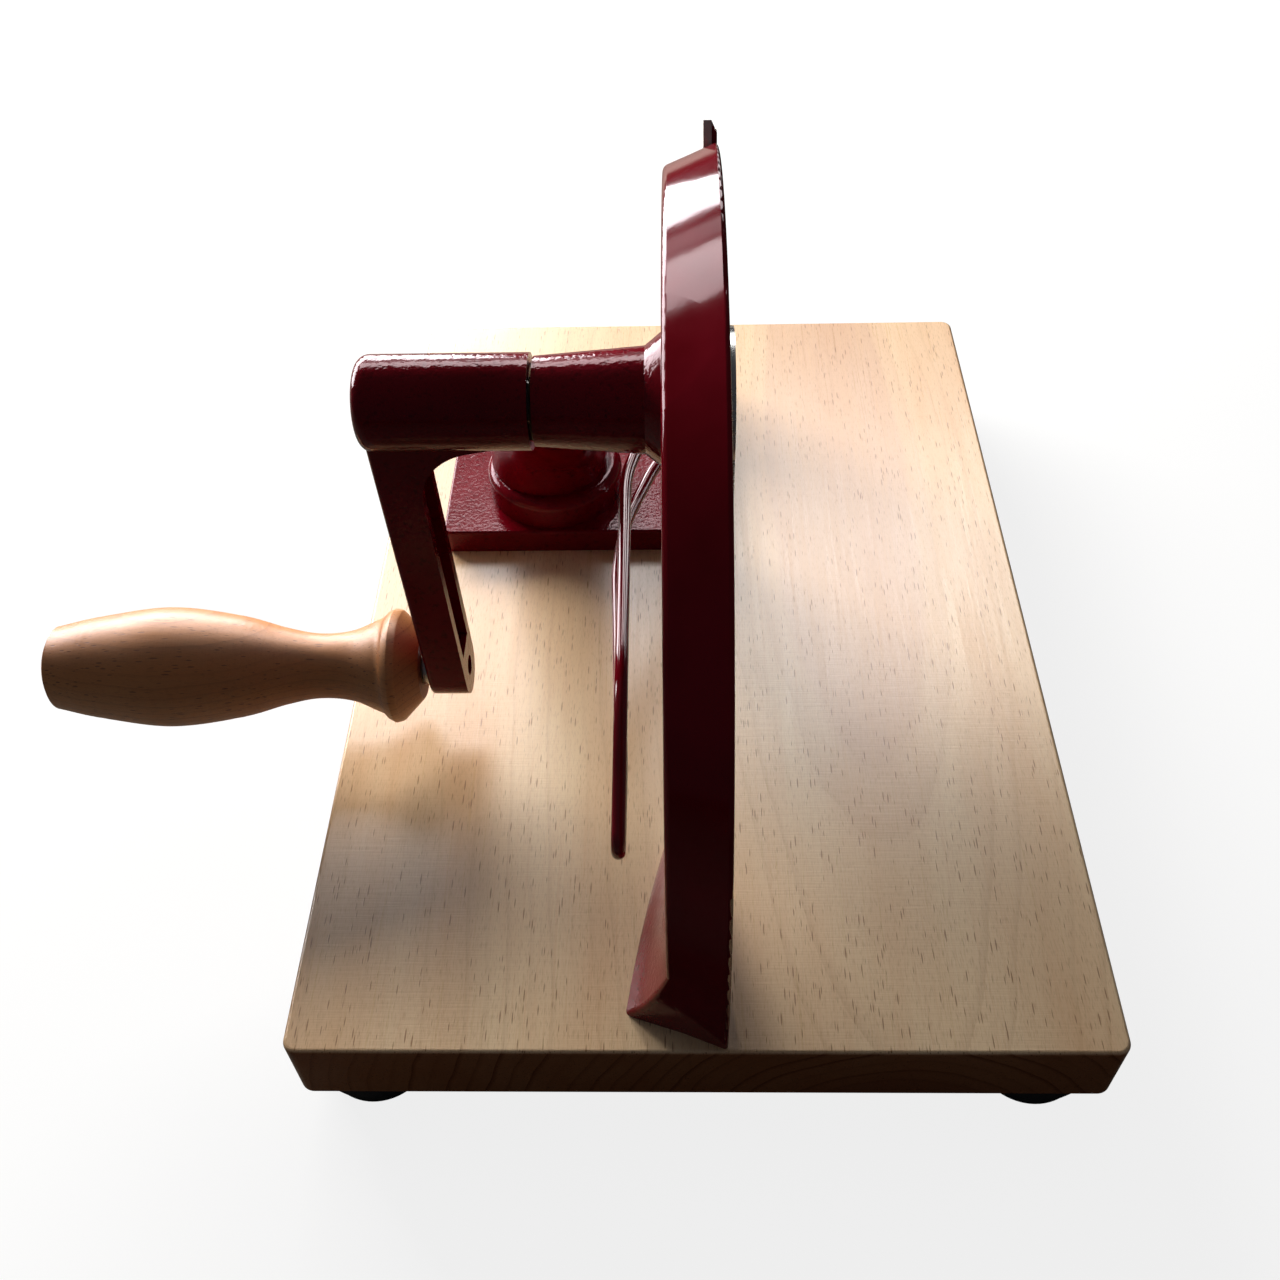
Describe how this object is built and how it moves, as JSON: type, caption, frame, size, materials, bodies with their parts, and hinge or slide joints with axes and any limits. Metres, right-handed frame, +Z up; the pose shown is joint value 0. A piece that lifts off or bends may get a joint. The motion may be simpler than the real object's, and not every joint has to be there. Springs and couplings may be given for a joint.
{
  "type": "frozen meat slicer",
  "caption": "Hand-cranked frozen meat slicer: a side crank swings a sickle blade past an enamelled cast arch on a beech board with rubber feet and a swinging bent-bar thickness guide.",
  "frame": {"origin": "centre of the bounding box's bottom, on the floor under the rubber feet", "axes": "+Z up, +Y away from the user along the board's length, +X to the right, away from the crank"},
  "size_m": [0.3056, 0.325, 0.1923],
  "materials": {
    "red_enamel": "gloss enamel on cast iron, orange-peel on the crank and the rear plate",
    "board_beech": "planed and oiled beech",
    "grip_beech": "turned and waxed beech",
    "black_rubber": "moulded",
    "blade_steel": "ground stainless",
    "bright_steel": "turned and zinc plated",
    "bearing_bronze": "turned bronze"
  },
  "bodies": {
    "frame": {"arch_frame": "red_enamel", "base_board": "board_beech", "bush_inner": "bearing_bronze", "bush_outer": "bearing_bronze", "foot_front_left": "black_rubber", "foot_front_right": "black_rubber", "foot_rear_left": "black_rubber", "foot_rear_right": "black_rubber", "foot_screw_front_left": "bright_steel", "foot_screw_front_right": "bright_steel", "foot_screw_rear_left": "bright_steel", "foot_screw_rear_right": "bright_steel", "foot_washer_front_left": "bright_steel", "foot_washer_front_right": "bright_steel", "foot_washer_rear_left": "bright_steel", "foot_washer_rear_right": "bright_steel", "guide_post": "bright_steel", "guide_washer_high": "bright_steel", "guide_washer_low": "bright_steel", "leg_screw_back": "bright_steel", "leg_screw_front": "bright_steel", "pillar_screw": "bright_steel", "plate_screw_back_left": "bright_steel", "plate_screw_back_right": "bright_steel", "plate_screw_front_left": "bright_steel", "plate_screw_front_right": "bright_steel", "rear_plate": "red_enamel", "shoulder_tab": "bright_steel", "tab_pin": "bright_steel", "thrust_washer_inner": "bearing_bronze", "thrust_washer_outer": "bearing_bronze", "toe_screw_back": "bright_steel", "toe_screw_front": "bright_steel"},
    "crank": {"crank_arm": "red_enamel", "crank_shaft": "bright_steel", "carrier_key": "bright_steel", "carrier_screw": "bright_steel", "hub_set_screw": "bright_steel", "blade_carrier": "bright_steel", "sickle_blade": "blade_steel", "blade_screw_1": "bright_steel", "blade_screw_2": "bright_steel", "blade_screw_3": "bright_steel", "grip_spindle": "bright_steel", "spindle_ring": "bright_steel"},
    "grip": {"grip": "grip_beech", "grip_bush_inner": "bearing_bronze", "grip_bush_outer": "bearing_bronze"},
    "guide": {"thickness_guide": "red_enamel"},
    "lock_knob": {"guide_lock_knob": "bright_steel"}
  },
  "joints": [
    {"name": "crank_turn", "type": "hinge", "parent": "frame", "child": "crank", "pos_m": [0, -0.0525, 0.1612], "axis": [-1, 0, 0], "continuous": true},
    {"name": "grip_spin", "type": "hinge", "parent": "crank", "child": "grip", "pos_m": [-0.096, -0.0525, 0.0637], "axis": [1, 0, 0], "continuous": true},
    {"name": "guide_swing", "type": "hinge", "parent": "frame", "child": "guide", "pos_m": [0.04155, 0.0328, 0.0921], "axis": [0, 0, 1], "range_deg": [0, 8.5]},
    {"name": "lock_knob_turn", "type": "hinge", "parent": "frame", "child": "lock_knob", "pos_m": [0.04155, 0.0328, 0.1138], "axis": [0, 0, 1], "range_deg": [0, 180]}
  ]
}
